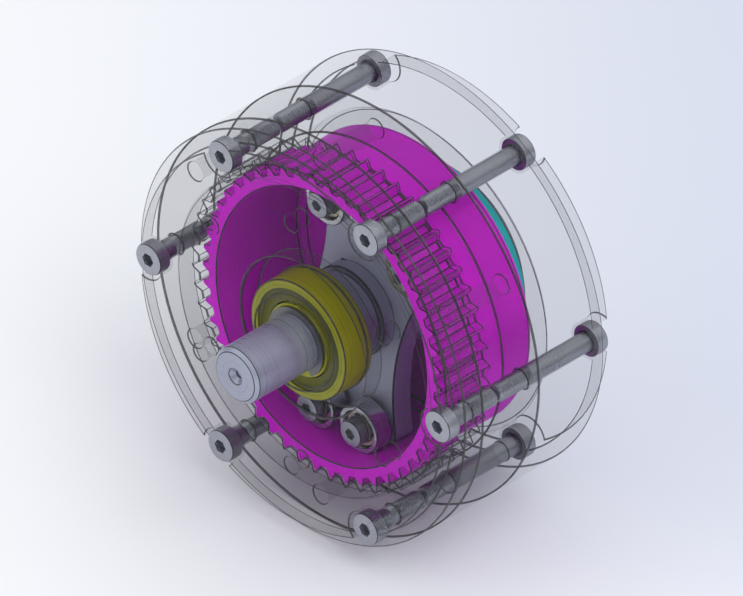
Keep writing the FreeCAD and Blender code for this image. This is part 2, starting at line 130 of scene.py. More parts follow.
# machine marks round the gear axis, soft patches of handling and, where a finish has them, worn edges
def addFinish(material, look):
    shader = material.node_tree.nodes["Principled BSDF"]
    place = addNode(material, "TexCoord")
    split = addNode(material, "SeparateXYZ")
    flat = addNode(material, "CombineXYZ")
    radius = addNode(material, "VectorMath", operation="LENGTH")
    path = addNode(material, "CombineXYZ")
    marks = addNode(material, "TexNoise", ("Scale", 1 / (look["marks"] * mm)), ("Detail", 3))
    patches = addNode(material, "TexNoise", ("Scale", 70), ("Detail", 4))
    grain = addNode(material, "TexNoise", ("Scale", 2600), ("Detail", 2))
    connect(
        material,
        (place.outputs["Object"], split.inputs[0]),
        (split.outputs["X"], flat.inputs["X"]),
        (split.outputs["Z"], flat.inputs["Z"]),
        (flat.outputs[0], radius.inputs[0]),
        (radius.outputs["Value"], path.inputs["X"]),
        (split.outputs["Y"], path.inputs["Y"]),
        (path.outputs[0], marks.inputs["Vector"]),
        (place.outputs["Object"], patches.inputs["Vector"]),
        (place.outputs["Object"], grain.inputs["Vector"]),
    )
    gloss = addNode(material, "Mix", ("Factor", 0.45))
    spread = look.get("roughnessSpread", 0.12)
    low, high = look["roughness"] - spread, look["roughness"] + spread
    limits = (("From Min", 0.35), ("From Max", 0.65), ("To Min", low), ("To Max", high))
    rough = addNode(material, "MapRange", *limits)
    connect(
        material,
        (marks.outputs["Fac"], gloss.inputs["A"]),
        (patches.outputs["Fac"], gloss.inputs["B"]),
        (gloss.outputs["Result"], rough.inputs["Value"]),
        (rough.outputs["Result"], shader.inputs["Roughness"]),
    )
    height = addNode(material, "Mix", ("Factor", 0.3))
    bump = addNode(material, "Bump", ("Strength", look["bump"]), ("Distance", 0.05 * mm))
    connect(
        material,
        (marks.outputs["Fac"], height.inputs["A"]),
        (grain.outputs["Fac"], height.inputs["B"]),
        (height.outputs["Result"], bump.inputs["Height"]),
        (bump.outputs["Normal"], shader.inputs["Normal"]),
    )
    tone = addNode(material, "ValToRGB")
    tone.color_ramp.elements[0].position = 0.38
    tone.color_ramp.elements[1].position = 0.62
    tone.color_ramp.elements[0].color = (*look["shade"], 1)
    tone.color_ramp.elements[1].color = (*look["color"], 1)
    connect(material, (gloss.outputs["Result"], tone.inputs["Fac"]))
    if "worn" not in look:
        connect(material, (tone.outputs["Color"], shader.inputs["Base Color"]))
        return material
    shape = addNode(material, "NewGeometry")
    limits = (("From Min", 0.52), ("From Max", 0.62), ("To Min", 0.0), ("To Max", 0.5))
    wear = addNode(material, "MapRange", *limits)
    blend = addNode(material, "Mix", data_type="RGBA")
    blend.inputs["B"].default_value = (*look["worn"], 1)
    connect(
        material,
        (shape.outputs["Pointiness"], wear.inputs["Value"]),
        (wear.outputs["Result"], blend.inputs["Factor"]),
        (tone.outputs["Color"], blend.inputs["A"]),
        (blend.outputs["Result"], shader.inputs["Base Color"]),
    )
    return material


def machined(name, metallic, specular=0.5, **look):
    return addFinish(newMaterial(name, Metallic=metallic, Specular_IOR_Level=specular), look)


shaftSteel = machined(
    "shaftSteel", 0.6, color=(0.38, 0.40, 0.50), shade=(0.30, 0.315, 0.40), roughness=0.34,
    marks=0.35, bump=0.25,
)
plateSteel = machined(
    "plateSteel", 0.35, color=(0.43, 0.45, 0.57), shade=(0.35, 0.37, 0.47), roughness=0.42,
    marks=0.6, bump=0.3,
)
groundSteel = machined(
    "groundSteel", 0.95, color=(0.60, 0.61, 0.65), shade=(0.50, 0.51, 0.55), worn=(0.75, 0.76, 0.80),
    roughness=0.24, marks=0.2, bump=0.12, roughnessSpread=0.07,
)
zincScrew = machined(
    "zincScrew", 0.85, color=(0.36, 0.37, 0.42), shade=(0.27, 0.28, 0.32), worn=(0.60, 0.61, 0.66),
    roughness=0.34, marks=0.3, bump=0.2,
)
springSteel = machined(
    "springSteel", 0.8, color=(0.06, 0.06, 0.065), shade=(0.035, 0.035, 0.04), worn=(0.25, 0.25, 0.26),
    roughness=0.36, marks=0.3, bump=0.2,
)
cageSteel = machined(
    "cageSteel", 0.85, color=(0.50, 0.46, 0.36), shade=(0.38, 0.35, 0.28), worn=(0.66, 0.62, 0.50),
    roughness=0.38, marks=0.3, bump=0.2,
)
ballChrome = machined(
    "ballChrome", 1.0, color=(0.72, 0.73, 0.76), shade=(0.66, 0.67, 0.70), roughness=0.11,
    roughnessSpread=0.04, marks=0.5, bump=0.03,
)
cupMagenta = machined(
    "cupMagenta", 0.0, 0.18, color=(0.74, 0.0, 0.74), shade=(0.62, 0.0, 0.63), roughness=0.42,
    marks=0.45, bump=0.22,
)
raceOlive = machined(
    "raceOlive", 0.1, 0.35, color=(0.36, 0.36, 0.0), shade=(0.29, 0.29, 0.0), roughness=0.32,
    marks=0.3, bump=0.2,
)
# shields in the races' olive painted about three times darker: painted shade for the shade on the bearing's
# faces
shieldOlivePaintedShade = machined(
    "shieldOlivePaintedShade", 0.1, 0.35, color=(0.12, 0.12, 0.0), shade=(0.09, 0.09, 0.0), roughness=0.38,
    marks=0.4, bump=0.25,
)
raceCyan = machined(
    "raceCyan", 0.1, 0.35, color=(0.0, 0.55, 0.55), shade=(0.0, 0.46, 0.46), roughness=0.32,
    marks=0.3, bump=0.2,
)
# shields in the races' cyan painted about three times darker: painted shade for the shade on the bearing's
# faces
shieldCyanPaintedShade = machined(
    "shieldCyanPaintedShade", 0.1, 0.35, color=(0.0, 0.19, 0.19), shade=(0.0, 0.14, 0.14), roughness=0.38,
    marks=0.4, bump=0.25,
)


# see-through grey plastic: thin on the faces; its edges and creases are painted nearly opaque and
# near-black, as painted shade lines that outline them
clearFace = addFinish(newMaterial("clearFace", Alpha=0.092, Specular_IOR_Level=0.22), {
    "color": (0.060, 0.062, 0.070), "shade": (0.045, 0.047, 0.054), "roughness": 0.20,
    "roughnessSpread": 0.06, "marks": 0.8, "bump": 0.08,
})
clearPaintedShadeEdge = addFinish(newMaterial("clearPaintedShadeEdge", Alpha=0.85), {
    "color": (0.025, 0.026, 0.030), "shade": (0.018, 0.019, 0.022), "roughness": 0.26,
    "roughnessSpread": 0.06, "marks": 0.5, "bump": 0.08,
})
clearPlastic = [clearFace, clearPaintedShadeEdge]
# near-black lines on the edges and creases of the opaque pieces: painted shade lines that outline them
paintedShadeEdge = machined(
    "paintedShadeEdge", 0.0, 0.4, color=(0.030, 0.030, 0.036), shade=(0.020, 0.020, 0.025), roughness=0.34, marks=0.3,
    bump=0.1,
)
print("finishes made")


# shapes


def evenTurns(count, first=0.0):
    return [first + 2 * math.pi * i / count for i in range(count)]


def polar(radius, turn, y=0.0):
    return Vector((radius * mm * math.cos(turn), y * mm, radius * mm * math.sin(turn)))


def circleOf(radius, turns):
    return [polar(radius, turn) for turn in turns]


# profile corners (radius, y, own size) softened into arcs: small ones are painted dark all over, as painted
# shade lines along the edges, and large ones are plain between two fine painted shade lines
def softened(corners, size=0.35, closed=True):
    soft = []
    last = len(corners) - 1
    for i, corner in enumerate(corners):
        here = Vector(corner[:2])
        reach = corner[2] if len(corner) > 2 else size
        if reach == 0 or (not closed and i in (0, last)):
            soft.append((here.x, here.y))
            continue
        before = Vector(corners[i - 1][:2]) - here
        after = Vector(corners[(i + 1) % len(corners)][:2]) - here
        start = here + before.normalized() * min(reach, 0.45 * before.length)
        end = here + after.normalized() * min(reach, 0.45 * after.length)
        steps = 3 if reach < 0.7 else 8
        for k in range(steps + 1):
            t = k / steps
            point = start * (1 - t) ** 2 + here * 2 * t * (1 - t) + end * t * t
            dark = k < steps if steps == 3 else k in (0, steps - 1)
            soft.append((point.x, point.y, int(dark)))
    return soft


# skin turned from a profile; a radius or a material mark may be a list with one value for each turn
def addTurned(bm, profile, turns, closed=True, place=Matrix()):
    rows = []
    for radius, y, *mark in profile:
        if radius == 0:
            rows.append([bm.verts.new(place @ Vector((0, y * mm, 0)))])
            continue
        radii = radius if isinstance(radius, list) else [radius] * len(turns)
        rows.append([bm.verts.new(place @ polar(r, t, y)) for r, t in zip(radii, turns)])
    for i in range(len(rows) if closed else len(rows) - 1):
        near, far = rows[i], rows[(i + 1) % len(rows)]
        mark = profile[i][2] if len(profile[i]) > 2 else 0
        for j in range(len(turns)):
            k = (j + 1) % len(turns)
            corners = [near[j], near[k]] if len(near) > 1 else [near[0]]
            corners += [far[k], far[j]] if len(far) > 1 else [far[0]]
            bm.faces.new(corners).material_index = mark[j] if isinstance(mark, list) else mark


def asObject(name, bm, materials):
    bmesh.ops.recalc_face_normals(bm, faces=bm.faces[:])
    mesh = bpy.data.meshes.new(name)
    bm.to_mesh(mesh)
    bm.free()
    for material in materials:
        mesh.materials.append(material)
    made = bpy.data.objects.new(name, mesh)
    bpy.context.scene.collection.objects.link(made)
    return made


# cuts closed skins out of a piece, for holes with their broken mouths, or joins them to it
def shapeWith(piece, bm, operation="DIFFERENCE"):
    tool = asObject("tool", bm, list(piece.data.materials))
    change = piece.modifiers.new("change", "BOOLEAN")
    change.operation = operation
    change.solver = "EXACT"
    change.material_mode = "INDEX"
    change.use_self = operation == "UNION"
    change.object = tool
    graph = bpy.context.evaluated_depsgraph_get()
    shaped = bpy.data.meshes.new_from_object(piece.evaluated_get(graph), depsgraph=graph)
    piece.modifiers.remove(change)
    piece.data = shaped
    bpy.data.objects.remove(tool)


def finishPiece(piece, body, nodes, sharp=38):
    mesh = piece.data
    for polygon in mesh.polygons:
        polygon.use_smooth = True
    mesh.set_sharp_from_angle(angle=math.radians(sharp))
    even = piece.modifiers.new("evenShading", "WEIGHTED_NORMAL")
    even.keep_sharp = True
    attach(piece, body)
    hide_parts(*nodes)


# rows of a right-hand thread between two places along the axis
def threadRows(crest, pitch, start, end, turns):
    rows = []
    count = max(2, round((end - start) / pitch * 5))
    for i in range(count + 1):
        y = start + (end - start) * i / count
        radii = []
        for turn in turns:
            phase = (y / pitch + turn / (2 * math.pi)) % 1
            radii.append(crest - 0.55 * pitch * min(1, max(0, 1.25 * (1 - abs(2 * phase - 1)) - 0.12)))
        rows.append((radii, y))
    return rows


# socket cap screw: the head's seat is at y, and the shank points to the sign of way
def addCapScrew(bm, screw, length, at, y, way):
    turns = evenTurns(48)
    head, high, hexagon, shank = screw["head"], screw["high"], screw["hex"], screw["shank"]
    flats = [hexagon / 2 / math.cos(turn % (math.pi / 3) - math.pi / 6) for turn in turns]
    mouth = [r + 0.12 for r in flats]
    ridges = [head - (0.13 if i % 2 else 0) for i in range(len(turns))]
    top, depth = -high, 0.55 * high
    rows = [  # socket, then the head's top edge, its knurl and foot, and the shank's neck
        (0, top + depth + 0.3), (hexagon * 0.35, top + depth), (flats, top + depth),
        (flats, top + 0.15, 1), (mouth, top), (head - 0.55, top), (head - 0.2, top + 0.12, 1),
        (head - 0.06, top + 0.35), (ridges, top + 0.5), (ridges, -0.55), (head - 0.04, -0.4),
        (head - 0.05, -0.08, 1), (head - 0.15, 0), (shank + 0.15, 0), (shank, 0.2),
    ]
    start = max(0.6, length - screw["thread"])
    rows += [(shank - 0.03, start - 0.2)]
    rows += threadRows(shank - 0.03, screw["pitch"], start, length - 0.45, turns)
    rows += [(shank * 0.72, length), (0, length)]
    turned = Matrix.Rotation(math.pi, 4, "X") if way < 0 else Matrix()
    place = Matrix.Translation(at + Vector((0, y * mm, 0))) @ turned
    addTurned(bm, rows, turns, False, place)


# cutter at each place, turned a little so that its corners don't fall on the piece's own edges
def addCutter(bm, profile, places, turns=None):
    for place in places:
        addTurned(bm, profile, turns or evenTurns(40, 0.021), False, Matrix.Translation(place))


# hole from face to face with broken mouths
def throughHole(radius, front, rear):
    wide = radius + holeMouth + overrun
    return [
        (0, front - overrun), (wide, front - overrun, 1), (radius, front + holeMouth),
        (radius, rear - holeMouth, 1), (wide, rear + overrun), (0, rear + overrun),
    ]


# screw hole with a counterbore from the outer face down to the head's seat
def sunkHole(radius, sink, face, seat, end):
    way = 1 if end > face else -1
    mouth, over = way * holeMouth, way * overrun
    return [
        (0, face - over), (sink + holeMouth + overrun, face - over, 1), (sink, face + mouth), (sink, seat),
        (radius + holeMouth, seat, 1), (radius, seat + mouth), (radius, end - mouth, 1),
        (radius + holeMouth + overrun, end + over), (0, end + over),
    ]


# straight blind hole or pin way between two places
def plainHole(radius, start, end):
    return [(0, start), (radius, start), (radius, end), (0, end)]


# housing

rimTurns = evenTurns(6)
midTurns = evenTurns(6, math.pi / 6)
rimPlaces = circleOf(rimCircle, rimTurns)
coverScrew = {
    "shank": 2.5, "head": 4.25, "high": 3.5, "hex": 3.0, "pitch": 0.8, "thread": 11,
    "hole": 2.75, "sink": 5.0,
}

frontCover = {
    "disc": 4.0,  # thickness inside the flange
    "boss": 21.0,
    "lip": 12.2,
    "edge": 0.4,
    "motorCircle": 35.5,
    "motorHole": 2.25,
}


def makeFrontCover(look):
    disc, flange, end = frontFace + look["disc"], ringFront - partingGap, housingRadius - discStep
    seat, seatFloor = radiusOf("input_outer_ring") + seatPlay, inputFront - seatPlay
    corners = [
        (look["lip"], frontFace), (end, frontFace), (end, disc), (housingRadius, disc),
        (housingRadius, flange), (housingBore, flange), (housingBore, disc, 0.8),
        (look["boss"], disc, 0.6), (look["boss"], flange), (seat, flange), (seat, seatFloor, 0.15),
        (look["lip"], seatFloor, 0.2),
    ]
    bm = bmesh.new()
    addTurned(bm, softened(corners, look["edge"]), evenTurns(168))
    cover = asObject("frontCover", bm, clearPlastic)
    holes = bmesh.new()
    screwHole = sunkHole(coverScrew["hole"], coverScrew["sink"], frontFace, disc + partingGap, ringFront)
    addCutter(holes, screwHole, rimPlaces)
    motorPlaces = circleOf(look["motorCircle"], midTurns)
    addCutter(holes, throughHole(look["motorHole"], frontFace, disc), motorPlaces)
    shapeWith(cover, holes)
    finishPiece(cover, "housing", ["front_cover"])


makeFrontCover(frontCover)

ringGear = {
    "teeth": 52,
    "pitchRadius": 41.6,
    "space": [  # one space between teeth, as (across, height) corners
        (-1.60, -0.45), (-1.42, -0.33), (-0.42, 1.98), (-0.24, 2.10), (0.24, 2.10), (0.42, 1.98),
        (1.42, -0.33), (1.60, -0.45),
    ],
    "toothLength": 14.0,
    "edge": 0.4,
}


# turns, radii, heights and crease marks of a toothed outline from one tooth's (across, height) corners; the
# crease marks pick the painted shade lines
def toothedOutline(teeth, pitchRadius, shape):
    turns, radii, heights, creases = [], [], [], []
    for i in range(teeth):
        for k, (across, height) in enumerate(shape):
            turns.append(lobeAngle + 2 * math.pi * i / teeth + math.atan2(across, pitchRadius + height))
            radii.append(math.hypot(pitchRadius + height, across))
            heights.append(height)
            creases.append(1 if k % 2 == 0 else 0)
    return turns, radii, heights, creases


def makeRingGear(look):
    turns, teeth, heights, creases = toothedOutline(look["teeth"], look["pitchRadius"], look["space"])
    edge, tip, root = look["edge"], min(heights), look["pitchRadius"] + max(heights)
    eased = [r + max(0, edge * (1 - h + tip)) for r, h in zip(teeth, heights)]
    front, rear, toothEnd = ringFront + partingGap, ringRear - partingGap, ringFront + look["toothLength"]
    rows = [(eased, front, 1), (teeth, front + edge, creases)]
    rows += [(teeth, toothEnd - edge, 1), (eased, toothEnd)]
    rows += softened([
        (housingBore, toothEnd), (housingBore, rear), (housingRadius, rear), (housingRadius, front),
        (root + 0.6, front),
    ], edge, closed=False)
    bm = bmesh.new()
    addTurned(bm, rows, turns)
    ring = asObject("ringGear", bm, clearPlastic)
    holes = bmesh.new()
    rimHole = throughHole(coverScrew["shank"], ringFront, ringRear)
    addCutter(holes, rimHole, circleOf(rimCircle, evenTurns(12)))
    shapeWith(ring, holes)
    finishPiece(ring, "housing", ["ring_gear"])


makeRingGear(ringGear)

rearCover = {
    "disc": 5.5,  # length of the smaller end disc
    "depth": 16.0,
    "lip": 22.0,
    "edge": 0.4,
}


def makeRearCover(look):
    front, drumEnd, end = ringRear + partingGap, rearFace - look["disc"], housingRadius - discStep
    seat, seatFloor = radiusOf("output_outer_ring") + seatPlay, outputRear + seatPlay
    floor = ringRear + look["depth"]
    corners = [
        (housingBore, front), (housingRadius, front), (housingRadius, drumEnd), (end, drumEnd),
        (end, rearFace), (look["lip"], rearFace), (look["lip"], seatFloor, 0.2),
        (seat, seatFloor, 0.15), (seat, floor), (housingBore, floor, 1.2),
    ]
    bm = bmesh.new()
    addTurned(bm, softened(corners, look["edge"]), evenTurns(168))
    cover = asObject("rearCover", bm, clearPlastic)
    holes = bmesh.new()
    screwHole = sunkHole(coverScrew["hole"], coverScrew["sink"], rearFace, drumEnd - partingGap, ringRear)
    addCutter(holes, screwHole, rimPlaces)
    shapeWith(cover, holes)
    finishPiece(cover, "housing", ["rear_cover"])


makeRearCover(rearCover)


# socket cap screws in place of a packed group; way is 1 where their tips point to the rear
def makeScrews(name, node, body, screw, places, way=1):
    low, high = ends(node)
    seat = low + screw["high"] if way > 0 else high - screw["high"]
    length = high - seat if way > 0 else seat - low
    bm = bmesh.new()
    for place in places:
        addCapScrew(bm, screw, length, place, seat, way)
    screws = asObject(name, bm, [zincScrew, paintedShadeEdge])
    finishPiece(screws, body, [node])


makeScrews("frontCoverScrews", "front_cover_screws", "housing", coverScrew, rimPlaces)
makeScrews("rearCoverScrews", "rear_cover_screws", "housing", coverScrew, rimPlaces, -1)
print("housing made")


# wave generator

drivePin = {"radius": 2.0, "circle": 4.0}
plateBoss = {"radius": 8.2, "relief": 0.5, "reliefWidth": 0.8, "collar": 10.6, "collarLength": 3.0}


def addPinWays(bm, end):
    way = plainHole(drivePin["radius"] + partingGap, pinFront - partingGap, end)
    addCutter(bm, way, circleOf(drivePin["circle"], evenTurns(2, lobeAngle)))


inputShaft = {
    "journal": 7.5,
    "chamfer": 1.0,
    "clipDepth": 0.35,
    "clipWidth": 1.0,
    "shoulder": 9.5,
    "shoulderLength": 0.5,
    "undercut": 0.3,  # at the bearing's shoulder
    "hub": 11.0,
    "neck": 0.6,  # depth and width of the groove ahead of the rim
    "rimWidth": 3.8,
    "centreDrill": [(0, 2.7), (1.0, 2.0), (1.0, 1.3), (2.1, 0.15, 1), (2.3, 0)],  # (radius, depth)
}


def makeInputShaft(look):
    journal, shoulder, hub = look["journal"], look["shoulder"], look["hub"]
    rim, neck, rimFront = radiusOf("input_shaft"), hub - look["neck"], plateFront - look["rimWidth"]
    neckFront, undercut = rimFront - look["neck"], look["undercut"]
    clipFront, groove = inputFront - look["clipWidth"], journal - look["clipDepth"]
    hubFace, socketFloor = inputRear + look["shoulderLength"], plateFront - plateBoss["collarLength"]
    socket, collar = plateBoss["radius"] + partingGap, plateBoss["collar"] + partingGap
    drill = [(point[0], shaftTip + point[1], *point[2:]) for point in look["centreDrill"]]
    outside = softened([
        drill[-1][:2],
        (journal - look["chamfer"], shaftTip, 0.15), (journal, shaftTip + look["chamfer"], 0.15),
        (journal, clipFront, 0.05), (groove, clipFront, 0.05), (groove, inputFront, 0.05),
        (journal, inputFront, 0.05), (journal, inputRear - undercut, 0.1),
        (journal - undercut, inputRear - 0.2, 0.1), (journal - 0.1, inputRear, 0.1),
        (shoulder, inputRear, 0.15), (shoulder, hubFace, 0.15), (hub, hubFace, 0.3),
        (hub, neckFront, 0.2), (neck, neckFront, 0.15), (neck, rimFront, 0.15),
        (rim, rimFront, 0.4), (rim, plateFront, 0.3), (collar, plateFront, 0.2), (collar, socketFloor, 0.1),
        (socket, socketFloor, 0.1), (socket, bossFront - partingGap, 0.1), (0, bossFront - partingGap),
    ], closed=False)
    bm = bmesh.new()
    addTurned(bm, drill + outside[1:], evenTurns(128), False)
    shaft = asObject("inputShaft", bm, [shaftSteel, paintedShadeEdge])
    holes = bmesh.new()
    addPinWays(holes, bossFront + overrun)
    shapeWith(shaft, holes)
    finishPiece(shaft, "wave_generator", ["input_shaft"])


makeInputShaft(inputShaft)

rollerCentres = [centreOf("roller_%d_ring" % number) for number in range(1, 7)]
plateScrew = {"shank": 2.0, "head": 3.5, "high": 2.8, "hex": 2.5, "pitch": 0.7, "thread": 7}

wavePlate = {
    "lobe": 37.0,
    "halfTurn": math.radians(36.2),
    "waist": 14.5,
    "corner": 2.6,  # tangent length at the four corners
    "edge": 0.35,
    "seat": 4.65,
    "seatHeight": 1.0,
    "pad": 3.1,
    "sunk": 0.2,  # the raised rounds start this far inside the plate
    "flangeHole": 1.5,
    "flangeCircle": 10.8,
}


# quarter by quarter: a lobe's arc, a rounded corner and a hollow side, then the same turned by half
def plateOutline(look):
    lobe, half, waist, corner = look["lobe"], look["halfTurn"], look["waist"], look["corner"]
    arcSteps, sideSteps, cornerSteps = 24, 40, 8
    tip = Vector((lobe * math.cos(half), lobe * math.sin(half)))
    sag = tip.y - waist
    side = (tip.x ** 2 + sag ** 2) / (2 * sag)
    middle = Vector((0, waist + side))
    reach = half - corner / lobe
    points = []
    for k in range(arcSteps + 1):
        t = reach * (2 * k / arcSteps - 1)
        points.append(Vector((lobe * math.cos(t), lobe * math.sin(t))))
    begin = math.atan2(tip.y - middle.y, tip.x) - corner / side
    finish = -math.pi - begin
    hollow = []
    for k in range(sideSteps + 1):
        t = begin + (finish - begin) * k / sideSteps
        hollow.append(middle + side * Vector((math.cos(t), math.sin(t))))

    def rounded(start, at, end):
        shares = [k / cornerSteps for k in range(1, cornerSteps)]
        return [start * (1 - t) ** 2 + at * 2 * t * (1 - t) + end * t * t for t in shares]

    points += rounded(points[-1], tip, hollow[0]) + hollow
    points += rounded(hollow[-1], Vector((-tip.x, tip.y)), -points[0])
    points += [-p for p in points]
    turn = Matrix.Rotation(lobeAngle, 2)
    return [turn @ p for p in points]


# flat plate from an outline, with broken edges on both faces
def addPlate(bm, outline, front, rear, edge):
    rows = []
    count = len(outline)
    middle = (0.3 * edge, front + 0.3 * edge)
    levels = ((edge, front), middle, (0, front + edge), (0, rear - edge), (edge, rear))
    for inset, y in levels:
        row = []
        for i, point in enumerate(outline):
            along = (outline[(i + 1) % count] - outline[i - 1]).normalized()
            moved = point + Vector((-along.y, along.x)) * inset
            row.append(bm.verts.new((moved.x * mm, y * mm, moved.y * mm)))
        rows.append(row)
    for near, far, mark in zip(rows, rows[1:], (1, 1, 0, 1)):
        for j in range(count):
            k = (j + 1) % count
            bm.faces.new((near[j], near[k], far[k], far[j])).material_index = mark
    bm.faces.new(rows[0])
    bm.faces.new(rows[-1])


def makeWavePlate(look):
    bm = bmesh.new()
    addPlate(bm, plateOutline(look), plateFront, plateRear, look["edge"])
    plate = asObject("wavePlate", bm, [plateSteel, paintedShadeEdge])
    seatFront, root = plateFront - look["seatHeight"], plateFront + look["sunk"]
    seat = softened([
        (0, rollerRear), (look["pad"], rollerRear), (look["pad"], seatFront), (look["seat"], seatFront),
        (look["seat"], root), (0, root),
    ], 0.18, closed=False)
    boss, collar = plateBoss["radius"], plateBoss["collar"]
    relief, collarFront = boss - plateBoss["relief"], plateFront - plateBoss["collarLength"]
    reliefFront = collarFront - plateBoss["reliefWidth"]
    middle = softened([
        (0, bossFront), (boss, bossFront), (boss, reliefFront), (relief, reliefFront), (relief, collarFront),
        (collar, collarFront), (collar, root), (0, root),
    ], 0.3, closed=False)
    raised = bmesh.new()
    for centre in rollerCentres:
        addTurned(raised, seat, evenTurns(48), False, Matrix.Translation(centre))
    addTurned(raised, middle, evenTurns(96), False)
    shapeWith(plate, raised, "UNION")
    holes = bmesh.new()
    addCutter(holes, throughHole(plateScrew["shank"], rollerRear, plateRear), rollerCentres)
    addPinWays(holes, plateRear + overrun)
    flangePlaces = circleOf(look["flangeCircle"], evenTurns(4, lobeAngle + math.pi / 4))
    flangeWay = plainHole(look["flangeHole"], plateFront - overrun, plateRear + overrun)
    addCutter(holes, flangeWay, flangePlaces)
    shapeWith(plate, holes)
    finishPiece(plate, "wave_generator", ["wave_plate"])


makeWavePlate(wavePlate)
makeScrews("rollerScrews", "roller_screws", "wave_generator", plateScrew, rollerCentres)
print("wave generator made")


# flexible cup

flexCup = {
    "teeth": 50,
    "pitchRadius": 40.0,
    "tooth": [  # one tooth, as (across, height) corners
        (-1.60, -0.60), (-1.40, -0.48), (-0.42, 1.78), (-0.24, 1.90), (0.24, 1.90), (0.42, 1.78),
        (1.40, -0.48), (1.60, -0.60),
    ],
    "edge": 0.42,
    "bandLength": 13.4,
    "wave": 1.6,
    "wall": 39.2,
    "bore": 36.9,
    "wallMiddle": 38.15,  # of the toothed band
    "roundLength": 4.0,  # last stretch, which stays round
    "floor": 2.0,
    "floorBore": 8.0,
    "mouthStep": 3.0,  # extra rings inside the mouth, so that it bends evenly
    "screwCircle": 15.5,
    "screwHole": 2.25,
}
cupScrewPlaces = circleOf(flexCup["screwCircle"], midTurns)


def makeFlexCup(look):
    turns, teeth, heights, creases = toothedOutline(look["teeth"], look["pitchRadius"], look["tooth"])
    low, high = min(heights), max(heights)
    edge, wall, bore, step = look["edge"], look["wall"], look["bore"], look["mouthStep"]
    eased = [r - edge * (h - low) / (high - low) for r, h in zip(teeth, heights)]
    bandEnd, roundFrom = cupFront + look["bandLength"], cupRear - look["roundLength"]
    halfWay, floor = (bandEnd + roundFrom) / 2, cupRear - look["floor"]
    rows = [
        (bore, cupFront + 0.3, 1), (bore + 0.3, cupFront), (eased, cupFront, 1),
        (teeth, cupFront + edge, creases), (teeth, bandEnd - edge - 0.1, 1), (eased, bandEnd - 0.1),
        (wall + 0.1, bandEnd, 1),
    ]
    rows += softened([
        (wall, bandEnd + 0.3), (wall, halfWay, 0), (wall, roundFrom, 0), (wall, cupRear, 1.3),
        (look["floorBore"], cupRear), (look["floorBore"], floor), (bore, floor, 2.0), (bore, halfWay, 0),
        (bore, bandEnd, 0), (bore, cupFront + 2 * step, 0), (bore, cupFront + step),
    ], 0.3, closed=False)
    bm = bmesh.new()
    addTurned(bm, rows, turns)
    cup = asObject("flexCup", bm, [cupMagenta, paintedShadeEdge])
    holes = bmesh.new()
    addCutter(holes, throughHole(look["screwHole"], floor, cupRear), cupScrewPlaces)
    shapeWith(cup, holes)
    finishPiece(cup, "output", ["flexspline"])
    addLobeWave(cup, look, bandEnd, roundFrom)


# the cup is turned round, and this bends it onto the lobes wherever the wave generator points
def addLobeWave(cup, look, bandEnd, roundFrom):
    tree = bpy.data.node_groups.new("lobeWave", "GeometryNodeTree")
    tree.interface.new_socket("Geometry", in_out="INPUT", socket_type="NodeSocketGeometry")
    tree.interface.new_socket("Geometry", in_out="OUTPUT", socket_type="NodeSocketGeometry")
    nodes, links = tree.nodes, tree.links

    def maths(operation, a, b=0.0, clamp=False):
        node = nodes.new("ShaderNodeMath")
        node.operation = operation
        node.use_clamp = clamp
        for socket, value in zip(node.inputs, (a, b)):
            if isinstance(value, (int, float)):
                socket.default_value = value
            else:
                links.new(value, socket)
        return node.outputs[0]

    start, end = nodes.new("NodeGroupInput"), nodes.new("NodeGroupOutput")
    lobes = nodes.new("GeometryNodeObjectInfo")
    lobes.transform_space = "RELATIVE"
    lobes.inputs["Object"].default_value = frame["bodies"]["wave_generator"]
    point = nodes.new("FunctionNodeRotateVector")
    point.inputs["Vector"].default_value = (math.cos(lobeAngle), 0, math.sin(lobeAngle))
    links.new(lobes.outputs["Rotation"], point.inputs["Rotation"])
    lobe, place = nodes.new("ShaderNodeSeparateXYZ"), nodes.new("ShaderNodeSeparateXYZ")
    links.new(point.outputs[0], lobe.inputs[0])
    links.new(nodes.new("GeometryNodeInputPosition").outputs[0], place.inputs[0])
    x, y, z = place.outputs
    lobeX, lobeZ = lobe.outputs["X"], lobe.outputs["Z"]
    radius = maths("SQRT", maths("ADD", maths("MULTIPLY", x, x), maths("MULTIPLY", z, z)))
    outX, outZ = maths("DIVIDE", x, radius), maths("DIVIDE", z, radius)
    cosine = maths("ADD", maths("MULTIPLY", lobeX, outX), maths("MULTIPLY", lobeZ, outZ))
    sine = maths("SUBTRACT", maths("MULTIPLY", lobeX, outZ), maths("MULTIPLY", lobeZ, outX))
    twiceCosine = maths("SUBTRACT", maths("MULTIPLY", cosine, cosine), maths("MULTIPLY", sine, sine))
    twiceSine = maths("MULTIPLY", maths("MULTIPLY", cosine, sine), 2.0)
    length = (roundFrom - bandEnd) * mm
    share = maths("DIVIDE", maths("SUBTRACT", roundFrom * mm, y), length, clamp=True)
    rise = maths("MULTIPLY", share, look["wave"] * mm)
    outward = maths("MULTIPLY", rise, twiceCosine)
    above = maths("DIVIDE", maths("SUBTRACT", radius, look["wallMiddle"] * mm), look["wallMiddle"] * mm)
    lean = maths("SUBTRACT", maths("MULTIPLY", above, 1.5), 0.5)
    sideways = maths("MULTIPLY", maths("MULTIPLY", rise, twiceSine), lean)
    moveX = maths("SUBTRACT", maths("MULTIPLY", outward, outX), maths("MULTIPLY", sideways, outZ))
    moveZ = maths("ADD", maths("MULTIPLY", outward, outZ), maths("MULTIPLY", sideways, outX))
    move, bend = nodes.new("ShaderNodeCombineXYZ"), nodes.new("GeometryNodeSetPosition")
    links.new(moveX, move.inputs["X"])
    links.new(moveZ, move.inputs["Z"])
    links.new(move.outputs[0], bend.inputs["Offset"])
    links.new(start.outputs[0], bend.inputs["Geometry"])
    links.new(bend.outputs[0], end.inputs[0])
    cup.modifiers.new("lobeWave", "NODES").node_group = tree
    cup.modifiers.move(len(cup.modifiers) - 1, 0)


makeFlexCup(flexCup)
makeScrews("cupScrews", "cup_screws", "output", plateScrew, cupScrewPlaces)
print("flexible cup made")


# output hub

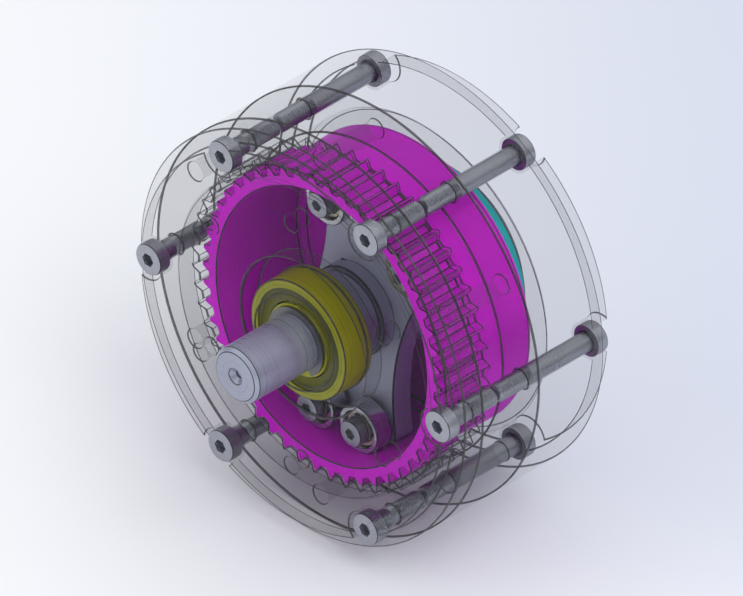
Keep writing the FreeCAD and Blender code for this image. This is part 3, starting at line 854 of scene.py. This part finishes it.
outputHub = {
    "journal": 20.0,
    "relief": 0.4,  # depth and width of the groove at the bearing's shoulder
    "recess": 11.4,
    "recessDepth": 5.8,
    "bore": 8.0,
    "edge": 0.3,
    "tapped": 2.5,
    "pitch": 0.8,
    "tappedCircle": 16.0,
    "tappedDepth": 10.0,
    "drillPoint": 0.9,
    "tappedMouth": 0.2,
    "clampDepth": 7.0,
}


def makeOutputHub(look):
    flange, journal, relief = radiusOf("output_hub"), look["journal"], look["relief"]
    face, web, seat = cupRear + partingGap, cupRear + look["recessDepth"], radiusOf("stub_outer_ring")
    corners = [
        (look["bore"], web), (look["recess"], web), (look["recess"], face), (flange, face),
        (flange, outputFront), (journal - relief, outputFront, 0.1),
        (journal - relief, outputFront + relief, 0.1), (journal, outputFront + relief, 0.1),
        (journal, rearFace), (seat, rearFace), (seat, stubFront, 0.1), (look["bore"], stubFront, 0.2),
    ]
    bm = bmesh.new()
    addTurned(bm, softened(corners, look["edge"]), evenTurns(128))
    hub = asObject("outputHub", bm, [plateSteel, paintedShadeEdge])
    holes = bmesh.new()
    turns = evenTurns(32, 0.021)
    radius, bottom, past = look["tapped"], rearFace - look["tappedDepth"], rearFace + overrun
    mouth, wide = look["tappedMouth"], radius + look["tappedMouth"]
    tapped = [(0, bottom - look["drillPoint"]), (radius - 0.4, bottom)]
    tapped += threadRows(radius, look["pitch"], bottom + 0.2, rearFace - 0.5, turns)
    tapped += [(wide, rearFace - mouth, 1), (wide + 1.2 * overrun, past), (0, past)]
    addCutter(holes, tapped, circleOf(look["tappedCircle"], rimTurns), turns)
    clamp = plainHole(plateScrew["shank"] + partingGap, cupRear - overrun, cupRear + look["clampDepth"])
    addCutter(holes, clamp, cupScrewPlaces)
    shapeWith(hub, holes)
    finishPiece(hub, "output", ["output_hub"])


makeOutputHub(outputHub)
print("output hub made")


# ball bearings

inputBearing = {"bore": 7.5, "outer": 16.0, "ball": 2.38, "count": 9, "ends": (inputFront, inputRear)}
outputBearing = {"bore": 20.0, "outer": 26.0, "ball": 1.75, "count": 24, "ends": (outputFront, outputRear)}
stubBearing = {"bore": 6.0, "outer": 12.0, "ball": 1.5, "count": 10, "ends": (stubFront, rearFace)}
rollerBearing = {"bore": 2.0, "outer": 6.5, "ball": 1.0, "count": 7, "ends": ends("roller_1_ring")}
shoulderShare = 0.8  # how far the rings' shoulders cover the ball's radius
ballGap = 0.08
shieldGap = 0.25  # from a shield's inner edge to the inner ring
shieldDepth = {"rim": 0.3, "rimBack": 0.5, "dish": 0.42, "dishBack": 0.6}  # in from the bearing's face


# profile of an inner (side -1) or outer (side 1) ring with its ball groove
def raceProfile(sizes, side):
    (front, rear), ball = sizes["ends"], sizes["ball"]
    pitch, middle = (sizes["bore"] + sizes["outer"]) / 2, (front + rear) / 2
    wall = sizes["bore"] if side < 0 else sizes["outer"]
    shoulder, groove = pitch + side * shoulderShare * ball, ball + ballGap
    half = math.acos(shoulderShare * ball / groove)
    corners = [(wall, rear), (wall, front), (shoulder, front, 0.12)]
    steps = 12
    for k in range(steps + 1):
        t = half * (2 * k / steps - 1)
        corners.append((pitch + side * groove * math.cos(t), middle + groove * math.sin(t), 0))
    corners.append((shoulder, rear, 0.12))
    return softened(corners, 0.3)


def makeRace(name, sizes, side, places, material, body, node):
    bm = bmesh.new()
    for place in places:
        addTurned(bm, raceProfile(sizes, side), evenTurns(96), True, Matrix.Translation(place))
    race = asObject(name, bm, [material, paintedShadeEdge])
    finishPiece(race, body, [node])


# pressed shields, dished inwards towards the inner ring
def makeShields(name, sizes, material, body, node):
    pitch, reach = (sizes["bore"] + sizes["outer"]) / 2, shoulderShare * sizes["ball"]
    outside, inside = pitch + reach, pitch - reach + shieldGap
    bend = inside + 0.66 * (outside - inside)
    rim, rimBack, dish, dishBack = shieldDepth.values()
    corners = [
        (outside, rim), (bend + 0.25, rim), (bend, dish), (inside, dish), (inside, dishBack),
        (bend, dishBack), (outside, rimBack),
    ]
    bm = bmesh.new()
    for face, way in zip(sizes["ends"], (1, -1)):
        addTurned(bm, softened([(r, face + way * depth) for r, depth in corners], 0.06), evenTurns(96))
    shields = asObject(name, bm, [material, paintedShadeEdge])
    finishPiece(shields, body, [node])


def makeBalls(name, sizes, centre, body, node):
    pitch, middle, radius = (sizes["bore"] + sizes["outer"]) / 2, sum(sizes["ends"]) / 2, sizes["ball"]
    steps = 16
    arc = [math.pi * k / steps for k in range(1, steps)]
    profile = [(0, -radius)] + [(radius * math.sin(t), -radius * math.cos(t)) for t in arc] + [(0, radius)]
    bm = bmesh.new()
    for turn in evenTurns(sizes["count"]):
        place = Matrix.Translation(centre + polar(pitch, turn, middle))
        addTurned(bm, profile, evenTurns(28), False, place)
    balls = asObject(name, bm, [ballChrome])
    finishPiece(balls, body, [node])


# a shielded bearing round the gear axis; inside and outside are the bodies that its rings ride on
def makeBearing(name, sizes, ring, shield, inside, outside):
    axis = Vector((0, 0, 0))
    makeRace(name + "InnerRing", sizes, -1, [axis], ring, inside, name + "_inner_ring")
    makeRace(name + "OuterRing", sizes, 1, [axis], ring, outside, name + "_outer_ring")
    makeShields(name + "Shields", sizes, shield, outside, name + "_shields")
    makeBalls(name + "Balls", sizes, axis, name + "_ball_set", name + "_balls")


makeBearing("input", inputBearing, raceOlive, shieldOlivePaintedShade, "wave_generator", "housing")
makeBearing("output", outputBearing, raceCyan, shieldCyanPaintedShade, "output", "housing")
makeBearing("stub", stubBearing, raceCyan, shieldCyanPaintedShade, "wave_generator", "output")
for number, centre in enumerate(rollerCentres, 1):
    body, here = "roller_%d" % number, [centre]
    name = "rollerRing%d" % number
    makeRace(name, rollerBearing, 1, here, groundSteel, body, body + "_ring")
    makeBalls("rollerBalls%d" % number, rollerBearing, centre, body + "_ball_set", body + "_balls")
makeRace(
    "rollerInnerRings", rollerBearing, -1, rollerCentres, groundSteel, "wave_generator",
    "roller_inner_rings",
)

# pieces whose solid is right as it stands
kept = {
    "stub_shaft": shaftSteel, "stub_screws": zincScrew, "drive_pins": groundSteel,
    "shaft_circlip": springSteel,
}
for name in frame["nodes"]:
    if name.endswith("_cage"):
        kept[name] = cageSteel
for name, material in kept.items():
    for slot in frame["nodes"][name].material_slots:
        slot.material = material
print("bearings made")


# floor, light and camera

studio = {
    "floorHalf": 3.0,
    "floorNear": (0.97, 0.97, 0.97),
    "floorFar": (0.70, 0.73, 0.83),
    "fadeRight": (-0.16, 0.20),  # the far colour comes in between these, in metres
    "fadeAway": (-0.22, 0.10),
    "worldLight": 0.86,
    "keyLamp": {"place": (0.55, -0.10, 0.75), "size": 0.55, "power": 2.7},
    "fillLamp": {"place": (-0.55, -0.65, 0.45), "size": 0.6, "power": 0.5},
    "lampAim": (0, 0.02, 0),
    "azimuth": 45.0,
    "elevation": 35.264,  # an isometric view
    "aim": (0.0, 0.0273, 0.0),
    "distance": 0.8,
    "viewWidth": 0.178,
}


def makeFloor(look):
    material = newMaterial("paleFloor", Roughness=0.85)
    shader = material.node_tree.nodes["Principled BSDF"]
    place = addNode(material, "TexCoord")
    rightward = addNode(material, "VectorMath", (1, (1, 1, 0)), operation="DOT_PRODUCT")
    away = addNode(material, "VectorMath", (1, (-1, 1, 0)), operation="DOT_PRODUCT")
    fades = []
    for low, high in (look["fadeRight"], look["fadeAway"]):
        fades.append(addNode(
            material, "MapRange", ("From Min", low), ("From Max", high), interpolation_type="SMOOTHSTEP"
        ))
    toRight, toFar = fades
    both = addNode(material, "Math", operation="MULTIPLY")
    ramp = addNode(material, "ValToRGB")
    ramp.color_ramp.elements[0].color = (*look["floorNear"], 1)
    ramp.color_ramp.elements[1].color = (*look["floorFar"], 1)
    connect(
        material,
        (place.outputs["Object"], rightward.inputs[0]),
        (place.outputs["Object"], away.inputs[0]),
        (rightward.outputs["Value"], toRight.inputs["Value"]),
        (away.outputs["Value"], toFar.inputs["Value"]),
        (toRight.outputs["Result"], both.inputs[0]),
        (toFar.outputs["Result"], both.inputs[1]),
        (both.outputs[0], ramp.inputs["Fac"]),
        (ramp.outputs["Color"], shader.inputs["Base Color"]),
    )
    mesh = bpy.data.meshes.new("floor")
    half = look["floorHalf"]
    corners = [(-half, -half, 0), (half, -half, 0), (half, half, 0), (-half, half, 0)]
    mesh.from_pydata(corners, [], [(0, 1, 2, 3)])
    mesh.materials.append(material)
    floor = bpy.data.objects.new("floor", mesh)
    floor.location = (0, 0, -(housingRadius + 0.1) * mm)
    bpy.context.scene.collection.objects.link(floor)


def makeLamp(name, look):
    lamp = bpy.data.lights.new(name, "AREA")
    lamp.size = look[name]["size"]
    lamp.energy = look[name]["power"]
    made = bpy.data.objects.new(name, lamp)
    made.location = look[name]["place"]
    made.rotation_euler = (Vector(look["lampAim"]) - made.location).to_track_quat("-Z", "Y").to_euler()
    bpy.context.scene.collection.objects.link(made)


def makeWorld(look):
    world = bpy.data.worlds.new("paleRoom")
    world.use_nodes = True
    bpy.context.scene.world = world
    tree = world.node_tree
    tree.nodes.clear()

    def node(kind):
        return tree.nodes.new("ShaderNode" + kind)

    light, shown, mix, out = node("Background"), node("Background"), node("MixShader"), node("OutputWorld")
    light.inputs["Color"].default_value = (0.94, 0.96, 1.0, 1)
    light.inputs["Strength"].default_value = look["worldLight"]
    path, coords, split, ramp = node("LightPath"), node("TexCoord"), node("SeparateXYZ"), node("ValToRGB")
    ramp.color_ramp.elements[0].position = 0.0
    ramp.color_ramp.elements[0].color = (0.30, 0.31, 0.35, 1)
    ramp.color_ramp.elements[1].position = 0.75
    ramp.color_ramp.elements[1].color = (1.0, 1.0, 1.0, 1)
    seenOrGlossy, seenAtAll = node("Math"), node("Math")
    seenOrGlossy.operation = seenAtAll.operation = "MAXIMUM"
    links = tree.links
    links.new(coords.outputs["Generated"], split.inputs[0])
    links.new(split.outputs["Z"], ramp.inputs["Fac"])
    links.new(ramp.outputs["Color"], shown.inputs["Color"])
    links.new(path.outputs["Is Camera Ray"], seenOrGlossy.inputs[0])
    links.new(path.outputs["Is Glossy Ray"], seenOrGlossy.inputs[1])
    links.new(seenOrGlossy.outputs[0], seenAtAll.inputs[0])
    links.new(path.outputs["Is Transmission Ray"], seenAtAll.inputs[1])
    links.new(seenAtAll.outputs[0], mix.inputs["Fac"])
    links.new(light.outputs[0], mix.inputs[1])
    links.new(shown.outputs[0], mix.inputs[2])
    links.new(mix.outputs[0], out.inputs["Surface"])


def makeCamera(look):
    azimuth, elevation = math.radians(look["azimuth"]), math.radians(look["elevation"])
    level = math.cos(elevation)
    back = Vector((math.sin(azimuth) * level, -math.cos(azimuth) * level, math.sin(elevation)))
    lens = bpy.data.cameras.new("camera")
    lens.type = "ORTHO"
    lens.ortho_scale = look["viewWidth"]
    lens.clip_end = 10
    camera = bpy.data.objects.new("camera", lens)
    camera.location = Vector(look["aim"]) + back * look["distance"]
    camera.rotation_euler = (-back).to_track_quat("-Z", "Y").to_euler()
    bpy.context.scene.collection.objects.link(camera)
    bpy.context.scene.camera = camera


makeFloor(studio)
makeLamp("keyLamp", studio)
makeLamp("fillLamp", studio)
makeWorld(studio)
makeCamera(studio)
bpy.context.scene.view_settings.view_transform = "Standard"
bpy.context.scene.cycles.transparent_max_bounces = 40
print("studio made")
